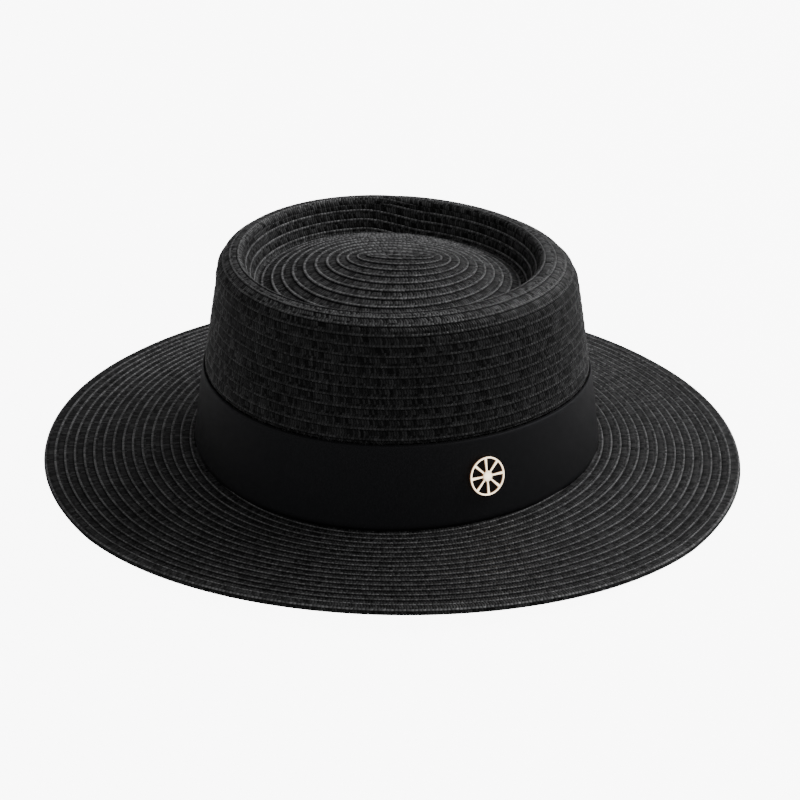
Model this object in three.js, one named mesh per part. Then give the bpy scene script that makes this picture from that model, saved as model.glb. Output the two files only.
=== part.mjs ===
// A straw boater hat: a tapered crown, a sunken and gently domed tip, a wide stiff brim,
// a ribbon round the foot of the crown and a small pierced badge on the ribbon.
// Millimetres. +Z is up, -Y is the wearer's front, +X is the wearer's left. The origin is on
// the surface that the hat rests on, under the middle of the brim.

import * as THREE from 'three';
import { mergeVertices } from 'three/addons/utils/BufferGeometryUtils.js';

// Head opening and walls
const HEAD_WIDTH = 170; // clear width inside the foot of the crown, ear to ear
const HEAD_LENGTH = 194; // clear length inside the foot, front to back
const STRAW_WALL = 2; // thickness of the stiffened braid
const SEWN_GAP = 0.3; // clearance between pieces that touch

// Crown, measured from the brim's upper face at its root
const CROWN_HEIGHT = 84; // root of the brim to the highest line of the rim
const SHOULDER_RADIUS = 12; // outer round between the side wall and the rim
const RIM_RADIUS = 2.6; // tight round from the rim down into the well
const SIDE_TAPER = 10.6; // how far each side wall leans in, foot to shoulder
const FRONT_TAPER = 16.4; // how far the front and back walls lean in, foot to shoulder
const WELL_DEPTH = 14.4; // highest line of the rim to the edge of the tip
const WELL_TAPER = 5.8; // how far the well's wall leans in on its way down
const WELL_FILLET = 2.5; // round between the well's wall and the tip
const DOME_HEIGHT = 12.5; // rise of the tip from its edge to its middle
const CROWN_SKEW = 0.06; // share by which the crown is longer on the wearer's right, shorter on the left
const RIM_SHIFT = 3; // the rim lies this far towards the wearer's right of the foot and of the tip's middle

// Brim
const BRIM_WIDTH = 66; // outer face of the crown to the outer edge
const BRIM_FALL = 5.3; // how far the brim's upper face drops from root to hem, at the sides
const BRIM_SWAY = 4.8; // how much higher the hem is at the front and the back than at the sides
const HEM_WIDTH = 5; // the outermost row, which lies flat on the surface
const HEM_THICKNESS = 2.6; // the folded outermost row

// Ribbon
const RIBBON_HEIGHT = 34;
const RIBBON_THICKNESS = 1;

// Badge
const BADGE_DIAMETER = 17;
const BADGE_THICKNESS = 1.2;
const BADGE_RIM = 1.1; // width of the outer ring
const BADGE_RAY = 0.9; // width of each ray
const BADGE_RAYS = 8;
const BADGE_HUB = 4.4; // diameter of the middle disc
const BADGE_BEARING = 26; // degrees from the front towards the wearer's left
const BADGE_LEVEL = 0.5; // height of its middle, as a share of the ribbon's height

const AROUND = 72; // facets round the hat
const LEVEL_SIDES = 0.15; // share of the sway's rise that is cut off, so that the hem's sides lie level

// Heights in the part's frame
const ROOT_TOP = HEM_THICKNESS + BRIM_FALL;
const ROOT_BOTTOM = ROOT_TOP - STRAW_WALL;
const CREST = ROOT_TOP + CROWN_HEIGHT;
const TIP_EDGE = CREST - WELL_DEPTH;
const SHOULDER_START = CREST - SHOULDER_RADIUS;

// Outer face of the crown at its foot, as half sizes
const FOOT_X = HEAD_WIDTH / 2 + STRAW_WALL;
const FOOT_Y = HEAD_LENGTH / 2 + STRAW_WALL;

// The side wall from foot to shoulder: height as a share of the wall's height, and how far
// the wall has leaned in by there, as a share of the taper of the sides and of the front.
const SIDE_SECTIONS = [
  { name: 'foot', height: 0, side: 0, front: 0 },
  { name: 'lower ribbon', height: 0.2, side: 0.19, front: 0.26 },
  { name: 'upper ribbon', height: 0.46, side: 0.42, front: 0.57 },
  { name: 'middle', height: 0.72, side: 0.69, front: 0.79 },
  { name: 'shoulder', height: 1, side: 1, front: 1 },
];

// The tip from its edge to its middle: distance from the middle as a share of the edge's, and rise
// as a share of the dome's height.
const TIP_SECTIONS = [
  { name: 'in the fillet', out: 0.95, rise: 0.08 },
  { name: 'outer rows', out: 0.8, rise: 0.3 },
  { name: 'middle rows', out: 0.6, rise: 0.56 },
  { name: 'inner rows', out: 0.4, rise: 0.78 },
  { name: 'first rows', out: 0.18, rise: 0.94 },
  { name: 'middle', out: 0, rise: 1 },
];

// The brim from its root to the hem: share of the sloping width, and share of the fall
const BRIM_SECTIONS = [
  { name: 'root', out: 0, fall: 0 },
  { name: 'first rows', out: 0.12, fall: 0.07 },
  { name: 'middle', out: 0.5, fall: 0.5 },
  { name: 'last rows', out: 0.9, fall: 0.96 },
  { name: 'hem', out: 1, fall: 1 },
];

const straw = () => new THREE.MeshStandardMaterial({ color: 0x1d1c1e, roughness: 0.62, metalness: 0 });
const grosgrain = () => new THREE.MeshStandardMaterial({ color: 0x0c0c0e, roughness: 0.75, metalness: 0 });
const paleGold = () => new THREE.MeshStandardMaterial({ color: 0xc9b48a, roughness: 0.3, metalness: 1 });

// A ring is one level of an oval surface: half its width (x), half its length (y), its height (z),
// how far its middle lies to the side, the share by which it is longer on the wearer's right than on
// the left, and how far its front and back are raised.
function crownRing(x, y, z) {
  return { x, y, z, midX: 0, skew: CROWN_SKEW, raised: 0 };
}

// A raised ring stays level along both sides, where the hat rests.
function ringPoint(ring, angle) {
  const towardsFront = Math.max(0, (Math.sin(angle) ** 2 - LEVEL_SIDES) / (1 - LEVEL_SIDES));
  const x = ring.midX + ring.x * Math.cos(angle);
  const y = ring.y * Math.sin(angle) * (1 - ring.skew * Math.cos(angle));
  return new THREE.Vector3(x, y, ring.z + ring.raised * towardsFront);
}

function ringMoved(ring, out, up) {
  return { ...ring, x: ring.x + out, y: ring.y + out, z: ring.z + up };
}

// Rings at equal steps round a quarter turn that begins at the ring `start`
function quarterRound(start, radius, steps, outwards, upwards) {
  return Array.from({ length: steps }, (_, step) => {
    const turn = ((step + 1) / steps) * (Math.PI / 2);
    return ringMoved(start, outwards(turn) * radius, upwards(turn) * radius);
  });
}

// The other face of a wall: every ring moved square to the wall, in the plane of the wall's section.
function offsetFace(face, wall) {
  return face.map((ring, index) => {
    const before = face[Math.max(index - 1, 0)];
    const after = face[Math.min(index + 1, face.length - 1)];
    const run = (after.x + after.y - before.x - before.y) / 2;
    const rise = after.z - before.z;
    const length = Math.hypot(run, rise);
    if (ring.x === 0) return ringMoved(ring, 0, -wall);
    return ringMoved(ring, (-rise / length) * wall, (run / length) * wall);
  });
}

// Turns the rings' profile on a lathe and draws each turned circle out to its ring's oval.
// The profile closes on itself, or starts and ends on the axis.
function turnedOval(rings) {
  const closesOnAxis = rings[0].x === 0;
  const loop = closesOnAxis ? rings : [...rings, rings[0]];
  const profile = loop.map((ring) => new THREE.Vector2((ring.x + ring.y) / 2, ring.z));
  const geometry = new THREE.LatheGeometry(profile, AROUND);
  const position = geometry.attributes.position;
  for (let index = 0; index < position.count; index += 1) {
    const facet = Math.floor(index / loop.length) % AROUND;
    const point = ringPoint(loop[index % loop.length], (facet / AROUND) * 2 * Math.PI);
    position.setXYZ(index, point.x, point.y, point.z);
  }
  return solid(geometry);
}

// Merges the seams and poles, drops the empty triangles there and turns the faces outwards.
function solid(geometry) {
  geometry.deleteAttribute('normal');
  geometry.deleteAttribute('uv');
  const merged = mergeVertices(geometry, 1e-4);
  const { array } = merged.index;
  const position = merged.attributes.position;
  const corners = [];
  let volume = 0;
  for (let index = 0; index < array.length; index += 3) {
    const [a, b, c] = [array[index], array[index + 1], array[index + 2]];
    if (a === b || b === c || c === a) continue;
    corners.push(a, b, c);
    const [p, q, r] = [a, b, c].map((corner) => new THREE.Vector3().fromBufferAttribute(position, corner));
    volume += p.dot(q.cross(r));
  }
  merged.setIndex(volume < 0 ? corners.reverse() : corners);
  merged.computeVertexNormals();
  return merged;
}

function piece(name, geometry, material) {
  const mesh = new THREE.Mesh(geometry, material);
  mesh.name = name;
  return mesh;
}

// Side of the crown: tapered wall, rounded shoulder and tight rim, as one sewn wall
function sideRing(section) {
  return crownRing(
    FOOT_X - SIDE_TAPER * section.side,
    FOOT_Y - FRONT_TAPER * section.front,
    ROOT_TOP + (SHOULDER_START - ROOT_TOP) * section.height,
  );
}

function sideFace() {
  const foot = crownRing(FOOT_X, FOOT_Y, ROOT_BOTTOM);
  const side = SIDE_SECTIONS.map(sideRing);
  const shoulder = quarterRound(side.at(-1), SHOULDER_RADIUS, 5, (turn) => Math.cos(turn) - 1, Math.sin);
  shoulder.forEach((ring, step) => {
    ring.midX = -RIM_SHIFT * ((step + 1) / shoulder.length);
  });
  const rim = quarterRound(
    shoulder.at(-1),
    RIM_RADIUS,
    4,
    (turn) => -Math.sin(turn),
    (turn) => Math.cos(turn) - 1,
  );
  return [foot, ...side, ...shoulder, ...rim];
}

function crownSide() {
  const outside = sideFace();
  const inside = offsetFace(outside, STRAW_WALL);
  inside[0].z = ROOT_BOTTOM;
  return piece('crown_side', turnedOval([...outside, ...inside.reverse()]), straw());
}

// Tip: the sunken top, a sloping well wall and a domed floor, set in under the rim's edge
function tipFace() {
  const mouth = sideFace().at(-1);
  const seam = ringMoved(mouth, 0, -SEWN_GAP);
  const edge = ringMoved(mouth, -WELL_TAPER, TIP_EDGE - mouth.z);
  const aboveEdge = ringMoved(edge, (WELL_TAPER / (mouth.z - edge.z)) * WELL_FILLET, WELL_FILLET);
  const inCorner = ringMoved(edge, -WELL_FILLET / 4, WELL_FILLET / 4);
  const dome = TIP_SECTIONS.map((section) => ({
    ...edge,
    midX: edge.midX * section.out,
    x: edge.x * section.out,
    y: edge.y * section.out,
    z: TIP_EDGE + DOME_HEIGHT * section.rise,
  }));
  return [seam, aboveEdge, inCorner, ...dome];
}

function crownTip() {
  const outside = tipFace();
  const inside = offsetFace(outside, STRAW_WALL);
  return piece('crown_tip', turnedOval([...outside.reverse(), ...inside]), straw());
}

// Brim: from the foot of the crown down to a flat, folded hem
function brim() {
  const root = crownRing(FOOT_X + SEWN_GAP, FOOT_Y + SEWN_GAP, ROOT_TOP);
  const slope = BRIM_WIDTH - SEWN_GAP - HEM_WIDTH;
  const top = BRIM_SECTIONS.map((section) => ({
    ...ringMoved(root, slope * section.out, -BRIM_FALL * section.fall),
    skew: root.skew * (1 - section.out),
    raised: BRIM_SWAY * section.fall,
  }));
  const hemInside = top.at(-1);
  const under = top.slice(0, -1).map((ring) => ringMoved(ring, 0, -STRAW_WALL));
  const round = HEM_THICKNESS / 3;
  const hem = [
    ringMoved(hemInside, HEM_WIDTH - round, 0),
    ringMoved(hemInside, HEM_WIDTH, -round),
    ringMoved(hemInside, HEM_WIDTH, round - HEM_THICKNESS),
    ringMoved(hemInside, HEM_WIDTH - round, -HEM_THICKNESS),
    ringMoved(hemInside, 0, -HEM_THICKNESS),
  ];
  return piece('brim', turnedOval([...top, ...hem, ...under.reverse()]), straw());
}

// Ribbon: follows the side wall, clear of it by the sewn gap
function ribbonRing(z) {
  const side = SIDE_SECTIONS.map(sideRing);
  const above = Math.max(1, side.findIndex((ring) => ring.z >= z));
  const [low, high] = [side[above - 1], side[above]];
  const share = (z - low.z) / (high.z - low.z);
  const x = THREE.MathUtils.lerp(low.x, high.x, share) + SEWN_GAP;
  const y = THREE.MathUtils.lerp(low.y, high.y, share) + SEWN_GAP;
  return crownRing(x, y, z);
}

const RIBBON_FOOT = ROOT_TOP + SEWN_GAP;
const RIBBON_TOP = RIBBON_FOOT + RIBBON_HEIGHT;

function ribbonBand() {
  const bends = SIDE_SECTIONS.map((section) => sideRing(section).z);
  const levels = [RIBBON_FOOT, ...bends.filter((z) => z > RIBBON_FOOT && z < RIBBON_TOP), RIBBON_TOP];
  const inside = levels.map(ribbonRing);
  const outside = inside.map((ring) => ringMoved(ring, RIBBON_THICKNESS, 0));
  return piece('ribbon_band', turnedOval([...outside, ...inside.reverse()]), grosgrain());
}

// Badge: a ring, straight rays and a middle disc, pierced between the rays
function badgeShape() {
  const radius = BADGE_DIAMETER / 2;
  const shape = new THREE.Shape();
  shape.absarc(0, 0, radius, 0, 2 * Math.PI, false);
  const outer = radius - BADGE_RIM;
  const inner = BADGE_HUB / 2;
  const step = (2 * Math.PI) / BADGE_RAYS;
  for (let ray = 0; ray < BADGE_RAYS; ray += 1) {
    const outerHalf = step / 2 - Math.asin(BADGE_RAY / 2 / outer);
    const innerHalf = step / 2 - Math.asin(BADGE_RAY / 2 / inner);
    const middle = (ray + 0.5) * step;
    const gap = new THREE.Path();
    gap.absarc(0, 0, outer, middle - outerHalf, middle + outerHalf, false);
    gap.absarc(0, 0, inner, middle + innerHalf, middle - innerHalf, true);
    gap.closePath();
    shape.holes.push(gap);
  }
  return shape;
}

function badge() {
  const angle = THREE.MathUtils.degToRad(BADGE_BEARING - 90);
  const level = RIBBON_FOOT + RIBBON_HEIGHT * BADGE_LEVEL;
  const faceAt = (z, turn) => ringPoint(ringMoved(ribbonRing(z), RIBBON_THICKNESS, 0), turn);
  const seat = faceAt(level, angle);
  const nudge = 0.01;
  const along = faceAt(level, angle + nudge).sub(faceAt(level, angle - nudge)).normalize();
  const up = faceAt(level + nudge, angle).sub(faceAt(level - nudge, angle)).normalize();
  const out = along.clone().cross(up).normalize();
  const upright = out.clone().cross(along);
  const geometry = new THREE.ExtrudeGeometry(badgeShape(), {
    depth: BADGE_THICKNESS,
    bevelEnabled: false,
    curveSegments: 12,
  });
  geometry.applyMatrix4(new THREE.Matrix4().makeBasis(along, upright, out));
  const centre = seat.addScaledVector(out, SEWN_GAP);
  geometry.translate(centre.x, centre.y, centre.z);
  return piece('badge', solid(geometry), paleGold());
}

const hat = new THREE.Group();
hat.name = 'straw_boater_hat';
hat.add(crownSide(), crownTip(), brim(), ribbonBand(), badge());

export default hat;
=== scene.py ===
import math

import bmesh
import bpy
import numpy as np
from mathutils import Matrix, Vector


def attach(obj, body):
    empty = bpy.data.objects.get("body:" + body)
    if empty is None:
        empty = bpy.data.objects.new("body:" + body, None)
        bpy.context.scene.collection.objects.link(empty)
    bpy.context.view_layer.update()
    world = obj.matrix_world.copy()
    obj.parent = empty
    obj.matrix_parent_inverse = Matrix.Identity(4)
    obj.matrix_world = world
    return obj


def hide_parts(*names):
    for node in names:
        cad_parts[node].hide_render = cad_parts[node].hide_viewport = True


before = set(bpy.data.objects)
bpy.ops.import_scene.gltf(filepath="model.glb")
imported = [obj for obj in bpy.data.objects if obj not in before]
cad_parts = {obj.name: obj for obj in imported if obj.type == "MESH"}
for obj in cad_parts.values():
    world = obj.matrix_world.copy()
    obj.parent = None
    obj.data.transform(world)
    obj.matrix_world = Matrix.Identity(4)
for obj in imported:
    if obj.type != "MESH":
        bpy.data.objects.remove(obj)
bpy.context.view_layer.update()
MM = 0.001

# The stand: a plain pale floor that runs out of sight, and a pale surround. To the eye both are
# brighter than the light that they throw on the hat.
FLOOR_REACH = 9.0
FLOOR_WHITE = 0.8
PALE_GLOW = 8.6
SURROUND_LIGHT = 0.22


def shown(name, data):
    """An object in the scene, from its mesh, light or camera data."""
    made = bpy.data.objects.new(name, data)
    bpy.context.scene.collection.objects.link(made)
    return made


def wire(tree, kind, feeds=(), **settings):
    """One shader node: its settings, then its inputs, each a number, a colour or another node's output."""
    node = tree.nodes.new(kind)
    for label, value in settings.items():
        setattr(node, label, value)
    for slot, value in feeds:
        if isinstance(value, bpy.types.NodeSocket):
            tree.links.new(value, node.inputs[slot])
        else:
            node.inputs[slot].default_value = value
    return node.outputs[0]


def new_material(name):
    """A new material, with its node tree and its main shader."""
    made = bpy.data.materials.new(name)
    made.use_nodes = True
    return made, made.node_tree, made.node_tree.nodes["Principled BSDF"]


def two_faced(tree, thrown, bright, output):
    """Shows the camera the bright shader, and every other ray the thrown one."""
    to_the_eye = tree.nodes.new("ShaderNodeLightPath").outputs["Is Camera Ray"]
    seen = wire(tree, "ShaderNodeMixShader", [(0, to_the_eye), (1, thrown), (2, bright)])
    tree.links.new(seen, tree.nodes[output].inputs["Surface"])


corners = [(-1, -1), (1, -1), (1, 1), (-1, 1)]
floor_mesh = bpy.data.meshes.new("floor")
floor_mesh.from_pydata([(FLOOR_REACH * x, FLOOR_REACH * y, 0) for x, y in corners], [], [(0, 1, 2, 3)])
floor = shown("floor", floor_mesh)
floor_paper, tree, paper = new_material("floor_paper")
paper.inputs["Base Color"].default_value = (FLOOR_WHITE, FLOOR_WHITE, FLOOR_WHITE, 1)
paper.inputs["Roughness"].default_value = 0.9
paper.inputs["Specular IOR Level"].default_value = 0.1
glow = wire(tree, "ShaderNodeEmission", [("Strength", PALE_GLOW)])
both = wire(tree, "ShaderNodeAddShader", [(0, paper.outputs[0]), (1, glow)])
two_faced(tree, paper.outputs[0], both, "Material Output")
floor_mesh.materials.append(floor_paper)

surround = bpy.data.worlds.new("surround")
surround.use_nodes = True
thrown = surround.node_tree.nodes["Background"]
thrown.inputs["Color"].default_value = (1, 1, 1, 1)
thrown.inputs["Strength"].default_value = SURROUND_LIGHT
pale = wire(surround.node_tree, "ShaderNodeBackground", [("Color", (1, 1, 1, 1)), ("Strength", PALE_GLOW)])
two_faced(surround.node_tree, thrown.outputs[0], pale, "World Output")
bpy.context.scene.world = surround


# The lights: a soft key high on the wearer's left, and a weaker soft light from behind.
def soft_light(name, place, aim, width, height, power):
    """A rectangular soft box, width by height in metres, at place, turned to face aim."""
    data = bpy.data.lights.new(name, "AREA")
    data.shape = "RECTANGLE"
    data.size = width
    data.size_y = height
    data.energy = power
    lamp = shown(name, data)
    lamp.location = place
    lamp.rotation_euler = (Vector(aim) - Vector(place)).to_track_quat("-Z", "Y").to_euler()


soft_light("key_light", place=(0.88, 0.38, 0.9), aim=(0.05, 0, 0.05), width=0.6, height=0.6, power=7.5)
soft_light("back_light", place=(1.0, 1.5, 1.0), aim=(0, 0, 0.05), width=1.0, height=0.6, power=8)

# The camera: fitted to the outlines of the brim and the crown, a little over a metre from the hat. It
# looks down at the hat and is turned a little about its own line of sight.
CAMERA_PLACE = Vector((0.0020, -0.9784, 0.4576))
CAMERA_DIP = math.radians(24)
CAMERA_ROLL = math.radians(-1.12)
CAMERA_LENS, CAMERA_SENSOR = 109.25, 36
behind = Vector((0, -math.cos(CAMERA_DIP), math.sin(CAMERA_DIP)))
level_right = Vector((1, 0, 0))
level_up = behind.cross(level_right)
right = level_right * math.cos(CAMERA_ROLL) - level_up * math.sin(CAMERA_ROLL)
up = level_right * math.sin(CAMERA_ROLL) + level_up * math.cos(CAMERA_ROLL)
camera_data = bpy.data.cameras.new("camera")
camera_data.lens = CAMERA_LENS
camera_data.sensor_width = CAMERA_SENSOR
camera_data.clip_start = 0.02
camera_data.clip_end = 60
camera = shown("camera", camera_data)
camera.matrix_world = Matrix.Translation(CAMERA_PLACE) @ Matrix((right, up, behind)).transposed().to_4x4()
bpy.context.scene.camera = camera

# The straw: flat braid, plaited from strips of black paper. It is wound outwards from the middle of
# the tip, each turn lapped over the start of the next one and sewn down along its outer edge. That
# edge stands up as a fine beaded line, with a groove beyond it.
ROW = 4.17 * MM
STRAW_WALL = 2.0 * MM
OPEN_ACROSS = np.array([0, 0.05, 0.14, 0.3, 0.6, 0.72, 0.8, 0.9, 0.965])
OPEN_RELIEF = np.array([-0.62, -0.48, -0.38, -0.22, -0.2, -0.26, 0.06, 0.24, 0.04]) * MM
PLAIN_ACROSS = np.array([0, 0.12, 0.82, 0.94])
PLAIN_RELIEF = np.array([-0.45, -0.28, -0.05, 0.05]) * MM
FLAT_ACROSS = np.array([0, 0.5])
FLAT_RELIEF = np.zeros(2)
SKEW = 0.06
LEVEL_SIDES, BACK_SWAY = 0.35, 0.3
JOIN_HALF = 0.25
EVEN_ROWS, CLOSED_ROWS = 3.0, 8.0
PROBE, PROBE_TURN = 0.3 * MM, 0.004
TURN_STEP = 0.25
DOWN_FIRST = [(0, 0), (1, 0), (1, 1), (0, 1)]
ROUND_FIRST = [(0, 0), (0, 1), (1, 1), (1, 0)]


def rings(x, y, z, middle=0.0, skew=SKEW, rise=0.0):
    """A profile as rows of numbers: half sizes, height, shift along x, skew, rise at front and back."""
    return np.stack(np.broadcast_arrays(np.asarray(x, float), y, z, middle, skew, rise), axis=-1)


def distance_along(profile):
    """Running length of a profile: the sum of its steps in mean half size and in height."""
    mean = (profile[:, 0] + profile[:, 1]) / 2
    return np.concatenate([[0], np.cumsum(np.hypot(np.diff(mean), np.diff(profile[:, 2])))])


def on_surface(profile, along, distance, angle):
    """Points at a distance along the profile and an angle t round it: x = middle + X cos t,
    y = Y sin t (1 - skew cos t), z raised by the share of sin t squared that is over a threshold,
    less at the back than at the front."""
    x, y, z, middle, skew, rise = (np.interp(distance, along, profile[:, i]) for i in range(6))
    lift = rise * np.clip((np.sin(angle) ** 2 - LEVEL_SIDES) / (1 - LEVEL_SIDES), 0, None)
    lift = lift * np.where(np.sin(angle) > 0, BACK_SWAY, 1)
    flat = [middle + x * np.cos(angle), y * np.sin(angle) * (1 - skew * np.cos(angle))]
    return np.stack([*flat, z + lift], axis=-1)


def raised(profile, along, distance, angle, height):
    """Points on a profile's surface, moved along its normal by a height. The normal is the cross
    product of a short step along the profile and a short step round it."""
    ahead = on_surface(profile, along, np.minimum(distance + PROBE, along[-1]), angle)
    back = on_surface(profile, along, np.maximum(distance - PROBE, along[0]), angle)
    later = on_surface(profile, along, distance, angle + PROBE_TURN)
    earlier = on_surface(profile, along, distance, angle - PROBE_TURN)
    normal = np.cross(ahead - back, later - earlier)
    normal /= np.maximum(np.linalg.norm(normal, axis=-1, keepdims=True), 1e-12)
    return on_surface(profile, along, distance, angle) + normal * height[..., None]


def eased(value):
    """0 below 0, 1 above 1, and 3 v^2 - 2 v^3 between."""
    v = np.clip(value, 0, 1)
    return v * v * (3 - 2 * v)


def braid_length(profile, along, first, last, turns):
    """Metres of braid up to each of the turns: the running sum of the girth pi (X + Y) of the rows'
    middles, in steps of a part of a turn."""
    turn = np.arange(first, last, TURN_STEP)
    half_x, half_y = (np.interp(ROW * (turn + 0.5), along, profile[:, i]) for i in range(2))
    girth = np.pi * (half_x + half_y)
    length = np.concatenate([[0], np.cumsum((girth[1:] + girth[:-1]) / 2 * TURN_STEP)])
    return np.interp(turns, turn, length)


def grid_quads(rows, columns, steps, wrap_rows=False, wrap_columns=False):
    """Four point numbers for each quad of a grid of points. Steps, as (row, column), give the order of
    the corners. A side that wraps is closed round."""
    i = np.arange(rows if wrap_rows else rows - 1)[:, None]
    j = np.arange(columns if wrap_columns else columns - 1)[None, :]
    return np.stack([(i + a) % rows * columns + (j + b) % columns for a, b in steps], axis=-1)


def sewn_face(profile, along, begin, end, columns, across, relief, side=1, wound=False, squeeze=0.0):
    """One face of sewn rows, between two distances on a profile. At angle t the edge of row n stands
    ROW (n + gain) from the start. The gain is 0 up to the join at the back and 1 after it, so that the
    one long spiral lies in level rings; near a wound start it is t / 2 pi. Towards the front and back
    the rows may be squeezed a little. Points lie on the profile, moved along its normal by the relief;
    outside begin and end they are held at the edge. The corners of each quad get u, metres along the
    braid, and v, the row's number plus the share of its width. Gives points, quads, corner values."""
    angle = np.linspace(0, 2 * np.pi, columns + 1)
    turns = angle / (2 * np.pi)
    first, last = math.floor(begin / ROW) - 3, math.ceil(end / ROW) + 2
    number = np.repeat(np.arange(first, last), len(across)).astype(float)
    count = (number + np.tile(across, last - first))[:, None]
    closed = eased((count - EVEN_ROWS) / (CLOSED_ROWS - EVEN_ROWS)) if wound else 1
    gain = closed * eased((angle - math.pi / 2) / (2 * JOIN_HALF) + 0.5) + (1 - closed) * turns
    distance = ROW * (count + gain)
    distance = end - (end - distance) * (1 - squeeze * np.sin(angle) ** 2)
    held = np.clip(distance, begin, end)
    height = np.tile(relief, last - first)[:, None] * ((distance > begin) & (distance < end))
    points = raised(profile, along, held, np.broadcast_to(angle, held.shape), side * height)
    quads = grid_quads(*held.shape, DOWN_FIRST)
    u = braid_length(profile, along, first - 2, last + 3, number[:-1, None] + turns[None, :])
    here, there = u[:, :-1], u[:, 1:]
    near = count[:-1]
    far = (number + np.tile(np.append(across[1:], 1.0), last - first))[:-1, None]
    pairs = [(here, near), (here, far), (there, far), (there, near)]
    uv = np.stack([np.stack(np.broadcast_arrays(a, b), axis=-1) for a, b in pairs], axis=2)
    inside = (distance[1:, 1:] > begin) & (distance[:-1, :-1] < end)
    return points.reshape(-1, 3), quads[inside], uv[inside]


def edge_strip(ring_from, ring_to, columns):
    """A plain strip that joins two rings, such as the cut edge of a wall."""
    pair = np.stack([ring_from, ring_to])
    along = distance_along(pair)
    return sewn_face(pair, along, 0, along[-1], columns, FLAT_ACROSS, FLAT_RELIEF)


def flipped(face):
    """The same face, seen from the other side."""
    return face[0], face[1][:, ::-1], face[2][:, ::-1]


def straw_body(name, faces, material):
    """Joins faces into one closed mesh: corners that lie on each other become one."""
    offsets = np.cumsum([0] + [len(points) for points, _, _ in faces])
    points = np.concatenate([face[0] for face in faces])
    quads = np.concatenate([face[1] + offset for face, offset in zip(faces, offsets)])
    uv = np.concatenate([face[2] for face in faces])
    mesh = bpy.data.meshes.new(name)
    mesh.vertices.add(len(points))
    mesh.vertices.foreach_set("co", points.ravel())
    mesh.loops.add(quads.size)
    mesh.loops.foreach_set("vertex_index", quads.ravel().astype(np.int32))
    mesh.polygons.add(len(quads))
    mesh.polygons.foreach_set("loop_start", np.arange(0, quads.size, 4, dtype=np.int32))
    mesh.update(calc_edges=True)
    mesh.uv_layers.new(name="braid").data.foreach_set("uv", uv.ravel())
    work = bmesh.new()
    work.from_mesh(mesh)
    bmesh.ops.remove_doubles(work, verts=work.verts, dist=0.002 * MM)
    bmesh.ops.delete(work, geom=[v for v in work.verts if not v.link_faces], context="VERTS")
    work.to_mesh(mesh)
    work.free()
    mesh.polygons.foreach_set("use_smooth", np.ones(len(mesh.polygons), bool))
    mesh.materials.append(material)
    body = shown(name, mesh)
    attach(body, "root")
    return body


def maths(tree, operation, *values, clamp=False):
    """One sum on numbers or outputs, in the order given."""
    return wire(tree, "ShaderNodeMath", list(enumerate(values)), operation=operation, use_clamp=clamp)


def product(tree, first, *others, clamp=False):
    """The values multiplied together, in the order given."""
    for other in others:
        first = maths(tree, "MULTIPLY", first, other, clamp=clamp)
    return first


def ramp_between(tree, value, low, high):
    """0 below low, 1 above high, smooth between."""
    feeds = [(0, value), (1, low), (2, high)]
    return wire(tree, "ShaderNodeMapRange", feeds, interpolation_type="SMOOTHSTEP")


def round_top(tree, value):
    """A row of round tops: 1 - (2 fraction - 1) squared, for each whole step of the value."""
    share = maths(tree, "MULTIPLY_ADD", maths(tree, "FRACT", value), 2.0, -1.0)
    return maths(tree, "SUBTRACT", 1.0, maths(tree, "MULTIPLY", share, share))


def chance(tree, first, second):
    """A random number from 0 to 1 for each pair of whole numbers."""
    feeds = [(0, maths(tree, "FLOOR", first)), (1, maths(tree, "FLOOR", second))]
    pair = wire(tree, "ShaderNodeCombineXYZ", feeds)
    return wire(tree, "ShaderNodeTexWhiteNoise", [(0, pair)], noise_dimensions="2D")


def cloudy(tree, scale, detail):
    """Soft noise over the piece, scale waves to a metre."""
    place = tree.nodes.new("ShaderNodeTexCoord").outputs["Object"]
    return wire(tree, "ShaderNodeTexNoise", [("Vector", place), ("Scale", scale), ("Detail", detail)])


def cloth_place(tree, uv_map):
    """The two numbers of a UV map: metres along, and the place across."""
    split = tree.nodes.new("ShaderNodeSeparateXYZ")
    tree.links.new(wire(tree, "ShaderNodeUVMap", uv_map=uv_map), split.inputs[0])
    return split.outputs[0], split.outputs[1]


def colour_between(tree, share, low, high):
    """The colour that lies at a share of the way from low to high."""
    mix = tree.nodes.new("ShaderNodeMix")
    mix.data_type = "RGBA"
    tree.links.new(share, mix.inputs[0])
    mix.inputs[6].default_value = (*low, 1)
    mix.inputs[7].default_value = (*high, 1)
    return mix.outputs[2]


# The plait, shared by all the straw: strands that cross each half row in a shallow chevron, each of its
# own tone, with painted shade towards their sides; a beaded sewn edge, lighter as a painted highlight;
# and the groove beyond it, darkened as a painted shadow. Pairs are a gain and what is added.
STRAND, STRAND_SHUFFLE = 1.15 * MM, 17.0
BEAD, BEAD_SHUFFLE = 1.6 * MM, 11.0
CHEVRON, CHEVRON_SHIFT = (2.5, -1.0), 0.4
EDGE_RISES, EDGE_FALLS = (0.70, 0.80), (0.99, 0.95)
GROOVE_FADES, GROOVE_STARTS = (0.10, 0.0), (0.95, 1.0)
STRAND_GLEAMS, BEAD_GLEAMS = 0.9, 0.85
STRAND_TONE, FIBRE_TONE, STRAND_SHADE = 0.42, (0.16, -0.09), (0.85, 0.15)
BEAD_TONE, BEAD_SHADE = (0.8, 0.4), (0.6, 0.4)
RIM_ROWS = (2.6, 1.4)
CLOUD_TONE, GROOVE_SHADOW = (0.5, 0.75), (-0.8, 1.0)
STRAND_HEIGHT, CHANCE_HEIGHT, BEAD_HEIGHT = 0.6, 0.35, 0.9
plait = bpy.data.node_groups.new("plait", "ShaderNodeTree")
for label in ("Tone", "Height", "Edge", "Gloss"):
    plait.interface.new_socket(label, in_out="OUTPUT", socket_type="NodeSocketFloat")
for label in ("Edge Highlight", "Body Tone", "Rim Highlight"):
    plait.interface.new_socket(label, in_out="INPUT", socket_type="NodeSocketFloat")
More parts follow.
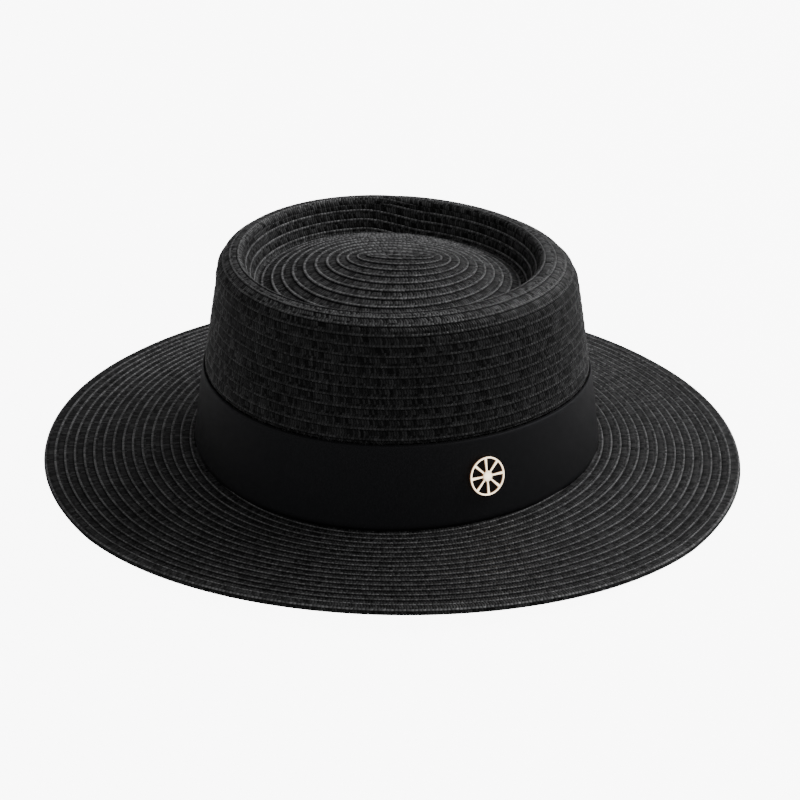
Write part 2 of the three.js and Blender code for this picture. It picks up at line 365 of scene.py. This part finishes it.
asked = plait.nodes.new("NodeGroupInput")
run, row = cloth_place(plait, "braid")
share = maths(plait, "FRACT", row)
row_chance = chance(plait, row, 3.0)
chevron = maths(plait, "ABSOLUTE", maths(plait, "MULTIPLY_ADD", share, *CHEVRON))
strand = maths(plait, "MULTIPLY", run, 1 / STRAND)
strand = maths(plait, "MULTIPLY_ADD", chevron, CHEVRON_SHIFT, strand)
strand = maths(plait, "MULTIPLY_ADD", row_chance, STRAND_SHUFFLE, strand)
half_row = maths(plait, "MULTIPLY", row, 2.0)
strand_chance = chance(plait, strand, half_row)
gleam_chance = chance(plait, maths(plait, "ADD", strand, 0.5), half_row)
bead = maths(plait, "MULTIPLY", run, 1 / BEAD)
bead = maths(plait, "MULTIPLY_ADD", row_chance, BEAD_SHUFFLE, bead)
bead_chance = chance(plait, bead, row)
strand_top = round_top(plait, strand)
bead_top = round_top(plait, bead)
edge = product(plait, ramp_between(plait, share, *EDGE_RISES), ramp_between(plait, share, *EDGE_FALLS))
body_mask = maths(plait, "SUBTRACT", 1.0, edge)
# Painted shadow: a mask over the groove on each side of a row's sewn edge.
groove_fades = ramp_between(plait, share, *GROOVE_FADES)
groove_starts = ramp_between(plait, share, *GROOVE_STARTS)
groove_shadow = maths(plait, "ADD", groove_fades, groove_starts, clamp=True)
fibre = cloudy(plait, 1500.0, 2.0)
cloud = cloudy(plait, 34.0, 3.0)
fibre_tone = maths(plait, "MULTIPLY_ADD", fibre, *FIBRE_TONE)
body_tone = maths(plait, "MULTIPLY_ADD", strand_chance, STRAND_TONE, fibre_tone)
strand_shade = maths(plait, "MULTIPLY_ADD", strand_top, *STRAND_SHADE)
body_tone = product(plait, body_tone, strand_shade, asked.outputs["Body Tone"])
# Painted highlight: the sewn edge is lighter than the body. Each bead has a tone of its own, with painted
# shade between the beads' round tops.
edge_highlight = maths(plait, "MULTIPLY_ADD", bead_chance, *BEAD_TONE)
bead_shade = maths(plait, "MULTIPLY_ADD", bead_top, *BEAD_SHADE)
edge_highlight = product(plait, edge_highlight, asked.outputs["Edge Highlight"], bead_shade)
tone = maths(plait, "MULTIPLY_ADD", edge_highlight, edge, product(plait, body_tone, body_mask))
# Painted highlight: the first rows of a piece, at the crown's rim, are lightened by the share asked for.
rim_highlight = product(plait, ramp_between(plait, row, *RIM_ROWS), asked.outputs["Rim Highlight"])
tone = product(plait, tone, maths(plait, "ADD", rim_highlight, 1.0))
tone = product(plait, tone, maths(plait, "MULTIPLY_ADD", cloud, *CLOUD_TONE))
# Painted shadow: the tone is darkened in the groove.
tone = product(plait, tone, maths(plait, "MULTIPLY_ADD", groove_shadow, *GROOVE_SHADOW), clamp=True)
height = product(plait, strand_top, STRAND_HEIGHT, body_mask)
height = maths(plait, "MULTIPLY_ADD", strand_chance, product(plait, body_mask, CHANCE_HEIGHT), height)
height = maths(plait, "MULTIPLY_ADD", product(plait, bead_top, edge), BEAD_HEIGHT, height)
strand_gleam = maths(plait, "GREATER_THAN", gleam_chance, STRAND_GLEAMS)
bead_gleam = maths(plait, "GREATER_THAN", bead_chance, BEAD_GLEAMS)
gloss = maths(plait, "MAXIMUM", strand_gleam, bead_gleam)
results = plait.nodes.new("NodeGroupOutput")
for label, value in (("Tone", tone), ("Height", height), ("Edge", edge), ("Gloss", gloss)):
    plait.links.new(value, results.inputs[label])

STRAW_BLACK = (0.0022, 0.0022, 0.0024)
STRAW_ROUGH, EDGE_SMOOTHER, GLEAM_SMOOTHER = 0.6, -0.12, -0.22


def black_straw(name, light, edge_highlight, body_tone, rim_highlight=0.0):
    """Black paper straw: its colour runs from near black to light with the plait's tone."""
    made, tree, shader = new_material(name)
    braid = tree.nodes.new("ShaderNodeGroup")
    braid.node_tree = plait
    braid.inputs["Edge Highlight"].default_value = edge_highlight
    braid.inputs["Body Tone"].default_value = body_tone
    braid.inputs["Rim Highlight"].default_value = rim_highlight
    colour = colour_between(tree, braid.outputs["Tone"], STRAW_BLACK, (light, light, 1.02 * light))
    tree.links.new(colour, shader.inputs["Base Color"])
    rough = maths(tree, "MULTIPLY_ADD", braid.outputs["Edge"], EDGE_SMOOTHER, STRAW_ROUGH)
    rough = maths(tree, "MULTIPLY_ADD", braid.outputs["Gloss"], GLEAM_SMOOTHER, rough)
    tree.links.new(rough, shader.inputs["Roughness"])
    feeds = [("Strength", 1.0), ("Distance", 0.3 * MM), ("Height", braid.outputs["Height"])]
    tree.links.new(wire(tree, "ShaderNodeBump", feeds), shader.inputs["Normal"])
    shader.inputs["Specular IOR Level"].default_value = 0.18
    return made


# One paper straw in lit and shaded copies: the upright side painted darker, as painted shade, with a weaker
# painted edge highlight; the level tip and brim painted lighter, as painted light; and the side's rows at
# the rim lighter still, a painted highlight.
straw_of_tip = black_straw("straw_of_tip", light=0.34, edge_highlight=0.84, body_tone=0.78)
straw_of_side = black_straw("straw_of_side", light=0.165, edge_highlight=0.5, body_tone=0.95, rim_highlight=1.6)
straw_of_brim = black_straw("straw_of_brim", light=0.3, edge_highlight=0.86, body_tone=0.58)

# The crown's shape, from the middle of the tip out to the foot: a domed tip that starts from a folded
# end of braid, a sloping well, a tight rim, a round shoulder, and a side that leans in, more at the
# front and back than at the sides. The whole is pressed over one block, so its rows run on.
FOOT_X, FOOT_Y, FOOT_Z = 88.5 * MM, 99 * MM, 7.9 * MM
FOOT_SHIFT = 0.9 * MM
CREST = 91.9 * MM
SHOULDER, RIM = 12 * MM, 2.6 * MM
SIDE_LEAN, FRONT_LEAN = 10.4 * MM, 16.4 * MM
SIDE_HOLLOW, FRONT_HOLLOW = -0.15, 0.42
WELL_DEPTH, WELL_LEAN, DOME_RISE = 14.4 * MM, 5.8 * MM, 12.5 * MM
DOME_OVAL, DOME_ROUND = 1.02, 1.61
RIM_SHIFT = 3 * MM
FOLD_HALF, TIP_ROWS, SIDE_ROW = 11.6 * MM, 11.35, 4.29 * MM
top_x, top_y = FOOT_X - SIDE_LEAN - SHOULDER, FOOT_Y - FRONT_LEAN - SHOULDER
tip_x, tip_y, tip_z = top_x - RIM - WELL_LEAN, top_y - RIM - WELL_LEAN, CREST - WELL_DEPTH
out = np.linspace(0, 1, 160)
dome_x, dome_y = FOLD_HALF + (tip_x - FOLD_HALF) * out, tip_y * out**DOME_OVAL
dome = rings(dome_x, dome_y, tip_z + DOME_RISE * (1 - out**DOME_ROUND), -RIM_SHIFT * out)
climb = np.linspace(0, 1, 40)[1:]
mouth_z = CREST - RIM
well = rings(
    tip_x + WELL_LEAN * climb,
    tip_y + WELL_LEAN * climb,
    tip_z + (mouth_z - tip_z) * climb,
    -RIM_SHIFT,
)
roll = np.linspace(0, math.pi / 2, 16)[1:]
rim = rings(
    top_x - RIM * np.cos(roll),
    top_y - RIM * np.cos(roll),
    mouth_z + RIM * np.sin(roll),
    -RIM_SHIFT,
)
shoulder = rings(
    top_x + SHOULDER * np.sin(roll),
    top_y + SHOULDER * np.sin(roll),
    CREST - SHOULDER + SHOULDER * np.cos(roll),
    -RIM_SHIFT * (1 - roll / (math.pi / 2)),
)
drop = np.linspace(1, 0, 80)[1:]
side = rings(
    FOOT_X - SIDE_LEAN * (drop + SIDE_HOLLOW * drop * (1 - drop)),
    FOOT_Y - FRONT_LEAN * (drop + FRONT_HOLLOW * drop * (1 - drop)),
    FOOT_Z + (CREST - SHOULDER - FOOT_Z) * drop,
    FOOT_SHIFT * (1 - drop),
)
foot = rings([FOOT_X], FOOT_Y, FOOT_Z - STRAW_WALL, FOOT_SHIFT)
crown = np.concatenate([dome, well, rim, shoulder, side, foot])
slope_out, slope_up = np.gradient((crown[:, 0] + crown[:, 1]) / 2), np.gradient(crown[:, 2])
slope = np.hypot(slope_out, slope_up)
crown_inside = crown.copy()
crown_inside[:, :2] += (STRAW_WALL * slope_up / slope)[:, None]
crown_inside[:, :2] = np.maximum(crown_inside[:, :2], 0)
crown_inside[:, 2] -= STRAW_WALL * slope_out / slope
crown_inside[-1, 2] = crown[-1, 2]
mouth_ring = len(dome) + len(well) - 1
tip, tip_inside = crown[: mouth_ring + 1], crown_inside[: mouth_ring + 1]
well_along = distance_along(tip[len(dome) - 1 :])[1:]
tip_along = np.concatenate([ROW * TIP_ROWS * out, ROW * TIP_ROWS + well_along])
mouth_at = tip_along[-1]
wall, wall_inside = crown[mouth_ring:], crown_inside[mouth_ring:]
wall_along = distance_along(wall) * ROW / SIDE_ROW
foot_at = wall_along[-1]

# The crown's side, of sewn braid: rim, shoulder and wall, open at the foot, where it is sewn to the
# brim. Under the ribbon the wall is smooth and pressed in a little, because nothing of it shows.
SIDE_COLUMNS = 400
RIBBON_FOOT, RIBBON_HEIGHT = 7.7 * MM, 34.3 * MM
PRESSED_ABOVE, PRESSED_IN = 0.45 * MM, 0.6 * MM
SIDE_RELIEF = 0.65 * OPEN_RELIEF
IN_ACROSS = np.array([0, 0.1, 0.9])
IN_RELIEF = np.array([-0.1, 0.15, 0.0]) * MM
covered_z = RIBBON_FOOT + RIBBON_HEIGHT + PRESSED_ABOVE
covered_at = np.interp(-covered_z, -side[:, 2], wall_along[-len(side) - 1 : -1])
covered_ring = np.array([np.interp(covered_at, wall_along, wall[:, i]) for i in range(6)])
pressed = np.concatenate([covered_ring[None], wall[wall[:, 2] < covered_z]])
pressed[:, :2] -= PRESSED_IN
pressed_along = distance_along(pressed)
pressed_end = pressed_along[-1]
crown_side = straw_body(
    "crown_side_braid",
    [
        sewn_face(wall, wall_along, 0, covered_at, SIDE_COLUMNS, OPEN_ACROSS, SIDE_RELIEF),
        edge_strip(covered_ring, pressed[0], SIDE_COLUMNS),
        sewn_face(pressed, pressed_along, 0, pressed_end, SIDE_COLUMNS, FLAT_ACROSS, FLAT_RELIEF),
        edge_strip(pressed[-1], wall_inside[-1], SIDE_COLUMNS),
        flipped(sewn_face(wall_inside, wall_along, 0, foot_at, SIDE_COLUMNS, IN_ACROSS, IN_RELIEF, side=-1)),
        edge_strip(wall_inside[0], wall[0], SIDE_COLUMNS),
    ],
    straw_of_side,
)
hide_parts("crown_side")

# The tip, of sewn braid: the sloping well and the domed top, wound from the folded start, set in under
# the rim.
TIP_COLUMNS = 384
tip_outer = sewn_face(tip, tip_along, 0, mouth_at, TIP_COLUMNS, OPEN_ACROSS, OPEN_RELIEF, wound=True)
tip_inner = sewn_face(
    tip_inside, tip_along, 0, mouth_at, TIP_COLUMNS, IN_ACROSS, IN_RELIEF, side=-1, wound=True
)
crown_tip = straw_body(
    "crown_tip_braid",
    [tip_outer, edge_strip(tip[-1], tip_inside[-1], TIP_COLUMNS), flipped(tip_inner)],
    straw_of_tip,
)
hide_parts("crown_tip")

# The brim: a ring of the same braid, sewn to the foot of the crown, which falls to its hem. The hem's
# front and back stand a little higher than its sides. The last row is doubled under and pressed smooth.
BRIM_COLUMNS = 448
HEM_X, HEM_Y, HEM_SHIFT = 153.4 * MM, 165 * MM, -0.8 * MM
BRIM_FALL, FALL_EASE, BRIM_SWAY = 5.3 * MM, 0.6, 4.8 * MM
HEM_WIDTH, HEM_THICK = 4.3 * MM, 2.6 * MM
HEM_ACROSS, HEM_RELIEF = np.array([0, 0.25, 0.5, 0.75]), np.zeros(4)
BRIM_GAP = 0.3 * MM
FRONT_SQUEEZE = 0.075
width = np.linspace(0, 1, 120)
fall = FALL_EASE * eased(width) + (1 - FALL_EASE) * width
brim_top = rings(
    FOOT_X + BRIM_GAP + (HEM_X - HEM_WIDTH - FOOT_X - BRIM_GAP) * width,
    FOOT_Y + BRIM_GAP + (HEM_Y - HEM_WIDTH - FOOT_Y - BRIM_GAP) * width,
    FOOT_Z - BRIM_FALL * fall,
    FOOT_SHIFT + (HEM_SHIFT - FOOT_SHIFT) * width,
    SKEW * (1 - width),
    BRIM_SWAY * fall,
)
bend = np.linspace(0, math.pi, 14)
hem_out = HEM_WIDTH - HEM_THICK / 2 + HEM_THICK / 2 * np.sin(bend)
hem_round = rings(
    brim_top[-1, 0] + hem_out,
    brim_top[-1, 1] + hem_out,
    HEM_THICK / 2 * (1 + np.cos(bend)),
    HEM_SHIFT,
    0,
    BRIM_SWAY,
)
hem_inside = rings([brim_top[-1, 0]], brim_top[-1, 1], 0, HEM_SHIFT, 0, BRIM_SWAY)
brim_under = brim_top[::-1][1:].copy()
brim_under[:, 2] -= STRAW_WALL
brim_shape = np.concatenate([brim_top, hem_round, hem_inside, brim_under])
brim_along = distance_along(brim_shape)
brim_along += -brim_along[len(brim_top) - 1] % ROW
root_at, brim_end = brim_along[0], brim_along[-1]
hem_at = brim_along[len(brim_top) - 1]
under_at = brim_along[len(brim_top) + len(hem_round)]
brim_rows = sewn_face(
    brim_shape, brim_along, root_at, hem_at, BRIM_COLUMNS, OPEN_ACROSS, OPEN_RELIEF, squeeze=FRONT_SQUEEZE
)
brim = straw_body(
    "brim_braid",
    [
        brim_rows,
        sewn_face(brim_shape, brim_along, hem_at, under_at, BRIM_COLUMNS, HEM_ACROSS, HEM_RELIEF),
        sewn_face(brim_shape, brim_along, under_at, brim_end, BRIM_COLUMNS, PLAIN_ACROSS, PLAIN_RELIEF),
        edge_strip(brim_shape[-1], brim_shape[0], BRIM_COLUMNS),
    ],
    straw_of_brim,
)
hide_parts("brim")

# The ribbon: black grosgrain, stretched round the foot of the crown, its ends lapped at the back and
# sewn down. Fine ribs cross it, and each long edge is a narrow selvedge.
RIBBON_CLEAR, RIBBON_THICK, RIBBON_ROUND = 0.3 * MM, 0.5 * MM, 0.5 * MM
SELVEDGE_RISE, SELVEDGE_WIDTH = 0.06 * MM, 1.2 * MM
LAP, LAP_STEP = 14 * MM, 0.55 * MM
RIBBON_COLUMNS = 720
ribbon_length = math.pi * (FOOT_X + FOOT_Y)
across = np.linspace(0, 1, 25)
from_edge = np.minimum(across, 1 - across) * RIBBON_HEIGHT
z_levels = RIBBON_FOOT + RIBBON_HEIGHT * across
side_up = side[::-1]
wall_x, wall_y, wall_shift = (np.interp(z_levels, side_up[:, 2], side_up[:, i]) for i in (0, 1, 3))
angle = np.linspace(0, 2 * np.pi, RIBBON_COLUMNS, endpoint=False) + math.pi / 2
past_seam = (angle - math.pi / 2) * (FOOT_X + FOOT_Y) / 2
lap = LAP_STEP * np.clip(1 - past_seam / LAP, 0, 1) ** 0.5
edge_round = np.minimum(1, from_edge / RIBBON_ROUND) ** 0.5
selvedge = SELVEDGE_RISE * np.exp(-((from_edge / SELVEDGE_WIDTH) ** 2))


def ribbon_layer(offset):
    """Points of the wall moved out by an offset, for each level and angle: the wall's own oval."""
    x = wall_shift[:, None] + (wall_x[:, None] + offset) * np.cos(angle)[None, :]
    y = (wall_y[:, None] + offset) * np.sin(angle)[None, :] * (1 - SKEW * np.cos(angle)[None, :])
    return np.stack([x, y, np.broadcast_to(z_levels[:, None], x.shape)], axis=-1)


outer = ribbon_layer(RIBBON_CLEAR + (RIBBON_THICK * edge_round + selvedge)[:, None] + lap[None, :])
inner = ribbon_layer(RIBBON_CLEAR * 0.9)[::-1]
layers = np.concatenate([outer, inner])
levels, columns = layers.shape[:2]
quads = grid_quads(levels, columns, ROUND_FIRST, wrap_rows=True, wrap_columns=True)
ribbon_mesh = bpy.data.meshes.new("ribbon_cloth")
ribbon_mesh.from_pydata(layers.reshape(-1, 3), [], quads.reshape(-1, 4).tolist())
step_up, step_round = np.array(ROUND_FIRST).T
length_share = (np.arange(columns)[None, :, None] + step_round) * (ribbon_length / columns)
level_of = np.concatenate([across, across[::-1]]) * RIBBON_HEIGHT
height_share = level_of[(np.arange(levels)[:, None, None] + step_up) % levels]
ribbon_uv = np.stack(np.broadcast_arrays(length_share, height_share), axis=-1)
ribbon_mesh.uv_layers.new(name="cloth").data.foreach_set("uv", ribbon_uv.ravel())
ribbon_mesh.polygons.foreach_set("use_smooth", np.ones(len(ribbon_mesh.polygons), bool))
ribbon = shown("ribbon_cloth", ribbon_mesh)

RIB, THREAD = 0.75 * MM, 0.22 * MM
# Painted shade: near both long edges the colour is darkened and the surface made rougher.
EDGE_SHADE_FROM, EDGE_SHADE_TO = RIBBON_HEIGHT / 2 - 0.7 * MM, RIBBON_HEIGHT / 2 - 0.4 * MM
RIBBON_DARK, RIBBON_LIGHT = (0.0042, 0.0042, 0.0048), (0.011, 0.011, 0.0125)
grosgrain, tree, shader = new_material("black_grosgrain")
along_ribbon, up_ribbon = cloth_place(tree, "cloth")
rib = round_top(tree, maths(tree, "MULTIPLY", along_ribbon, 1 / RIB))
thread = round_top(tree, maths(tree, "MULTIPLY", up_ribbon, 1 / THREAD))
cloud = cloudy(tree, 40.0, 3.0)
from_middle = maths(tree, "ABSOLUTE", maths(tree, "SUBTRACT", up_ribbon, RIBBON_HEIGHT / 2))
painted_edge_shade = ramp_between(tree, from_middle, EDGE_SHADE_FROM, EDGE_SHADE_TO)
tone = maths(tree, "MULTIPLY_ADD", rib, 0.25, maths(tree, "MULTIPLY", cloud, 0.3))
tone = maths(tree, "MULTIPLY_ADD", painted_edge_shade, -0.6, tone, clamp=True)
tree.links.new(colour_between(tree, tone, RIBBON_DARK, RIBBON_LIGHT), shader.inputs["Base Color"])
height = maths(tree, "MULTIPLY_ADD", thread, 0.2, rib)
bump = wire(tree, "ShaderNodeBump", [("Strength", 0.35), ("Distance", 0.05 * MM), ("Height", height)])
tree.links.new(bump, shader.inputs["Normal"])
rough = maths(tree, "MULTIPLY_ADD", cloud, 0.1, maths(tree, "MULTIPLY_ADD", painted_edge_shade, 0.4, 0.5))
tree.links.new(rough, shader.inputs["Roughness"])
shader.inputs["Specular IOR Level"].default_value = 0.37
shader.inputs["Specular Tint"].default_value = (0.93, 0.93, 1.0, 1)
ribbon_mesh.materials.append(grosgrain)
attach(ribbon, "root")
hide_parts("ribbon_band")

# The badge: a small cast disc of pale gold, pinned through the ribbon: a round rim, eight rays that
# widen towards it and a domed hub, open between the rays. It follows the plane of its node. Its raised
# parts glow, a painted reflection that is brightest on the crests, with painted shade in dim brown lower
# down, so that they look polished beside the bright floor.
BADGE_RADIUS, BADGE_RIM, BADGE_RISE = 8.15 * MM, 0.85 * MM, 1.1 * MM
RAY_COUNT, RAY_NARROW, RAY_WIDE, RAY_RISE = 8, 0.8 * MM, 1.5 * MM, 0.8 * MM
HUB_RADIUS, HUB_RISE = 2.3 * MM, 1.35 * MM
BADGE_LIFT, BADGE_RAISED = 0.55 * MM, 0.8 * MM
badge_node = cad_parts["badge"]
corner = np.empty(3 * len(badge_node.data.vertices))
badge_node.data.vertices.foreach_get("co", corner)
corner = corner.reshape(-1, 3)
badge_middle = (corner.max(axis=0) + corner.min(axis=0)) / 2
badge_out = np.linalg.svd(corner - corner.mean(axis=0), full_matrices=False)[2][2]
badge_out = badge_out * np.sign(badge_out @ (badge_middle * [1, 1, 0]))
badge_right = np.cross([0, 0, 1], badge_out)
badge_right /= np.linalg.norm(badge_right)
badge_up = np.cross(badge_out, badge_right)
badge_middle = badge_middle + BADGE_RAISED * badge_up
back_level = ((corner - badge_middle) @ badge_out).min() + BADGE_LIFT


def placed(x, y, z):
    """Points of the badge's own plane, put on the ribbon."""
    flat_part = x[..., None] * badge_right + y[..., None] * badge_up
    return badge_middle + flat_part + (back_level + z)[..., None] * badge_out


def bar_section(count, rise, foot, back=0.0):
    """A bar's section, as places across it from -1 to 1 and heights: a top of rise times foot plus the
    rest of the root of 1 - place squared, and three points of flat back."""
    span = np.concatenate([-np.cos(np.linspace(0, np.pi, count)), [0.6, 0, -0.6]])
    rounded = np.sqrt(np.clip(1 - span[:count] ** 2, 0, None))
    return span, np.concatenate([rise * (foot + (1 - foot) * rounded), np.full(3, back)])


def badge_ring():
    """The rim: a half-round section with a flat back, carried round a circle."""
    turn = np.linspace(0, 2 * np.pi, 96, endpoint=False)
    span, rise = bar_section(13, BADGE_RISE, 0.35)
    radius = BADGE_RADIUS - BADGE_RIM * (1 + span[:, None]) / 2
    return placed(radius * np.cos(turn), radius * np.sin(turn), rise[:, None] + 0 * turn), True


def badge_ray(bearing):
    """One ray: a bar that widens outwards, half round across, from inside the hub to inside the rim."""
    reach = np.linspace(HUB_RADIUS * 0.5, BADGE_RADIUS - BADGE_RIM * 0.5, 12)
    half = (RAY_NARROW + (RAY_WIDE - RAY_NARROW) * np.linspace(0, 1, 12) ** 1.5) / 2
    span, rise = bar_section(11, RAY_RISE, 0.3, 0.05 * MM)
    aside, ahead = half[:, None] * span, reach[:, None] + 0 * span
    x = ahead * math.cos(bearing) - aside * math.sin(bearing)
    y = ahead * math.sin(bearing) + aside * math.cos(bearing)
    return placed(x, y, rise + 0 * ahead), False


def badge_hub():
    """The hub: a low dome with an upright edge."""
    turn = np.linspace(0, 2 * np.pi, 48, endpoint=False)
    radius = np.array([0.001, 0.2, 0.4, 0.6, 0.8, 0.93, 1.0, 1.0, 0.001])[:, None] * HUB_RADIUS
    rise = np.array([1, 0.99, 0.97, 0.94, 0.88, 0.79, 0.5, 0, 0]) * HUB_RISE
    return placed(radius * np.cos(turn), radius * np.sin(turn), rise[:, None] + 0 * turn), False


bearings = [2 * math.pi * k / RAY_COUNT for k in range(RAY_COUNT)]
badge_parts = [badge_ring(), badge_hub(), *(badge_ray(bearing) for bearing in bearings)]
badge_points, badge_quads, crests, first_point = [], [], [], 0
for points, wraps in badge_parts:
    row_count, column_count = points.shape[:2]
    badge_points.append(points.reshape(-1, 3))
    rise = (badge_points[-1] - badge_middle) @ badge_out - back_level
    crests.append(rise / rise.max())
    quads = first_point + grid_quads(row_count, column_count, ROUND_FIRST, wraps, wrap_columns=True)
    badge_quads += quads.reshape(-1, 4).tolist()
    if not wraps:
        last_row = first_point + (row_count - 1) * column_count
        badge_quads.append(list(range(first_point, first_point + column_count)))
        badge_quads.append(list(range(last_row, last_row + column_count)))
    first_point += row_count * column_count
badge_mesh = bpy.data.meshes.new("badge_disc")
badge_mesh.from_pydata(np.concatenate(badge_points), [], badge_quads)
crest_data = badge_mesh.attributes.new("crest", "FLOAT", "POINT").data
crest_data.foreach_set("value", np.concatenate(crests).astype(np.float32))
work = bmesh.new()
work.from_mesh(badge_mesh)
bmesh.ops.recalc_face_normals(work, faces=work.faces)
work.to_mesh(badge_mesh)
work.free()
badge_mesh.polygons.foreach_set("use_smooth", np.ones(len(badge_mesh.polygons), bool))
badge_mesh.set_sharp_from_angle(angle=math.radians(50))
badge = shown("badge_disc", badge_mesh)

GOLD_DEEP, GOLD_PALE = (0.86, 0.70, 0.50), (0.97, 0.90, 0.76)
# Painted reflection: the glow's colours, dim brown low down and pale cream on the crests, and its strength.
REFLECTION_GLOW_LOW, REFLECTION_GLOW_HIGH = (0.03, 0.012, 0.004), (1.0, 0.82, 0.58)
CREST_FROM, CREST_TO = 0.62, 1.15
BADGE_REFLECTION_GLOW = 5.0
gold, tree, shader = new_material("pale_gold")
grain = cloudy(tree, 900.0, 3.0)
wear_and_glow_cloud = cloudy(tree, 160.0, 2.0)
tree.links.new(colour_between(tree, wear_and_glow_cloud, GOLD_DEEP, GOLD_PALE), shader.inputs["Base Color"])
crest = tree.nodes.new("ShaderNodeAttribute")
crest.attribute_name = "crest"
# Painted reflection: the glow rises towards the crests and is made patchy by the same cloud that varies the
# gold's tone.
painted_reflection = ramp_between(tree, crest.outputs["Fac"], CREST_FROM, CREST_TO)
painted_reflection = product(tree, painted_reflection, maths(tree, "MULTIPLY_ADD", wear_and_glow_cloud, 0.3, 0.8))
tree.links.new(colour_between(tree, painted_reflection, REFLECTION_GLOW_LOW, REFLECTION_GLOW_HIGH), shader.inputs["Emission Color"])
shader.inputs["Emission Strength"].default_value = BADGE_REFLECTION_GLOW
tree.links.new(maths(tree, "MULTIPLY_ADD", grain, 0.16, 0.22), shader.inputs["Roughness"])
bump = wire(tree, "ShaderNodeBump", [("Strength", 0.3), ("Distance", 0.03 * MM), ("Height", grain)])
tree.links.new(bump, shader.inputs["Normal"])
shader.inputs["Metallic"].default_value = 1
badge_mesh.materials.append(gold)
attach(badge, "root")
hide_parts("badge")
